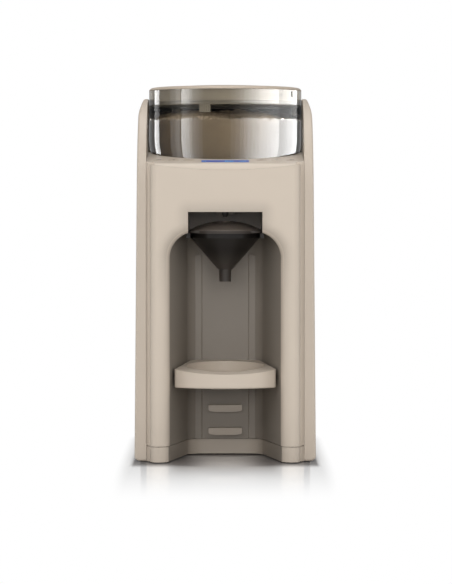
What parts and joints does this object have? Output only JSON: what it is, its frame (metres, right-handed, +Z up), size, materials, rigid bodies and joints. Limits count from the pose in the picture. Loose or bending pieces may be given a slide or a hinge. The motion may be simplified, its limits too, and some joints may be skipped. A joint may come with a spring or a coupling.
{
  "type": "baby formula maker",
  "caption": "Countertop baby formula maker: clear round powder container, rear water tank, funnel over an arched bottle bay with a hooked stand, sloping control panel.",
  "frame": {"origin": "middle of the casing on the plane that the rubber feet rest on", "axes": "+Z up, -Y towards the front with the bottle bay, +X to the right seen from behind the machine"},
  "size_m": [0.2092, 0.33, 0.4381],
  "materials": {
    "shell": "fine satin moulded, warm taupe",
    "wing": "fine satin moulded, slightly darker taupe",
    "pan": "satin moulded",
    "liner": "satin moulded",
    "cap": "satin moulded",
    "band": "smooth grey",
    "dark": "matt black moulding",
    "smoke": "clear smoke-tinted moulded plastic",
    "clear": "clear moulded plastic",
    "lens": "smoked display window",
    "powder": "dry off-white powder",
    "seal": "soft grey silicone",
    "foot": "matt rubber",
    "white": "white acetal",
    "nylon": "natural nylon",
    "steel": "bright zinc plated",
    "frame": "black glass-filled moulding",
    "motor": "plated motor can",
    "board": "green circuit board",
    "hose": "translucent silicone hose",
    "boiler": "cast heater body"
  },
  "bodies": {
    "casing": {"base_pan": "pan", "rubber_feet": "foot", "base_screws": "steel", "chassis": "frame", "front_cover": "shell", "bottle_bay": "liner", "left_side_cover": "wing", "right_side_cover": "wing", "rear_cover": "shell", "rear_screws": "steel", "cord_gland": "dark", "top_deck": "shell", "control_panel": "shell", "display_lens": "lens", "display_board": "board", "main_board": "board", "power_board": "board", "funnel_bay": "dark", "powder_chute": "dark", "water_nozzle": "dark", "gear_motor": "motor", "idler_pin": "steel", "shaft_bushes": "nylon", "gearbox_housing": "frame", "tank_seat": "dark", "water_pump": "dark", "water_heater": "boiler", "inlet_hose": "hose", "transfer_hose": "hose", "outlet_hose": "hose"},
    "stand": {"bottle_stand": "shell"},
    "funnel_unit": {"funnel": "smoke", "funnel_cover": "smoke"},
    "container": {"powder_container": "smoke", "formula_powder": "powder"},
    "wheel": {"mixing_wheel": "white"},
    "locking_ring": {"lid_ring": "band", "lid_seal": "seal"},
    "lid": {"lid_cap": "cap", "lid_band": "band"},
    "shaft": {"drive_shaft": "steel", "output_gear": "white"},
    "idler": {"idler_gear": "white"},
    "pinion": {"drive_pinion": "white"},
    "tank": {"water_tank": "clear", "tank_hinge_pin": "steel", "valve_spring": "steel"},
    "tank_cover": {"tank_lid": "shell"},
    "valve": {"tank_valve": "white", "valve_seal": "seal"},
    "powder_setting": {"powder_setting_button": "cap"},
    "temperature": {"temperature_button": "cap"},
    "volume_down": {"volume_down_button": "cap"},
    "volume_up": {"volume_up_button": "cap"},
    "start": {"start_button": "cap"},
    "power": {"power_button": "cap"}
  },
  "joints": [
    {"name": "stand_pull", "type": "slide", "parent": "casing", "child": "stand", "axis": [0, -1, 0], "range_m": [0, 0.06]},
    {"name": "funnel_pull", "type": "slide", "parent": "casing", "child": "funnel_unit", "axis": [0, -1, 0], "range_m": [0, 0.11]},
    {"name": "container_lift", "type": "slide", "parent": "casing", "child": "container", "axis": [0, 0, 1], "range_m": [0, 0.12]},
    {"name": "lid_lift", "type": "slide", "parent": "container", "child": "locking_ring", "axis": [0, 0, 1], "range_m": [0, 0.12]},
    {"name": "lid_twist", "type": "hinge", "parent": "locking_ring", "child": "lid", "pos_m": [0, -0.028, 0.4315], "axis": [0, 0, 1], "range_deg": [0, 25]},
    {"name": "shaft_spin", "type": "hinge", "parent": "casing", "child": "shaft", "pos_m": [0, -0.028, 0.32], "axis": [0, 0, 1], "continuous": true},
    {"name": "wheel_spin", "type": "hinge", "parent": "container", "child": "wheel", "pos_m": [0, -0.028, 0.35], "axis": [0, 0, 1], "continuous": true},
    {"name": "idler_spin", "type": "hinge", "parent": "casing", "child": "idler", "pos_m": [0, 0.017, 0.315], "axis": [0, 0, 1], "continuous": true},
    {"name": "pinion_spin", "type": "hinge", "parent": "casing", "child": "pinion", "pos_m": [0, 0.042, 0.315], "axis": [0, 0, 1], "continuous": true},
    {"name": "tank_lift", "type": "slide", "parent": "casing", "child": "tank", "axis": [0, 0, 1], "range_m": [0, 0.15]},
    {"name": "tank_lid_hinge", "type": "hinge", "parent": "tank", "child": "tank_cover", "pos_m": [0, 0.0735, 0.4129], "axis": [1, 0, 0], "range_deg": [0, 95]},
    {"name": "valve_slide", "type": "slide", "parent": "tank", "child": "valve", "axis": [0, 0, 1], "range_m": [0, 0.003], "stiffness_N_per_m": 180, "springref_m": -0.002, "deforming": ["valve_spring"]},
    {"name": "powder_setting_press", "type": "slide", "parent": "casing", "child": "powder_setting", "axis": [0, 0.1219, -0.9925], "range_m": [0, 0.0006], "stiffness_N_per_m": 900},
    {"name": "temperature_press", "type": "slide", "parent": "casing", "child": "temperature", "axis": [0, 0.1219, -0.9925], "range_m": [0, 0.0006], "stiffness_N_per_m": 900},
    {"name": "volume_down_press", "type": "slide", "parent": "casing", "child": "volume_down", "axis": [0, 0.1219, -0.9925], "range_m": [0, 0.0006], "stiffness_N_per_m": 900},
    {"name": "volume_up_press", "type": "slide", "parent": "casing", "child": "volume_up", "axis": [0, 0.1219, -0.9925], "range_m": [0, 0.0006], "stiffness_N_per_m": 900},
    {"name": "start_press", "type": "slide", "parent": "casing", "child": "start", "axis": [0, 0.1219, -0.9925], "range_m": [0, 0.0006], "stiffness_N_per_m": 900},
    {"name": "power_press", "type": "slide", "parent": "casing", "child": "power", "axis": [0, 0.1219, -0.9925], "range_m": [0, 0.0006], "stiffness_N_per_m": 900}
  ],
  "couplings": [
    {"joint": "wheel_spin", "follows": "shaft_spin", "ratio": 1},
    {"joint": "idler_spin", "follows": "shaft_spin", "ratio": -2},
    {"joint": "pinion_spin", "follows": "shaft_spin", "ratio": 3}
  ]
}
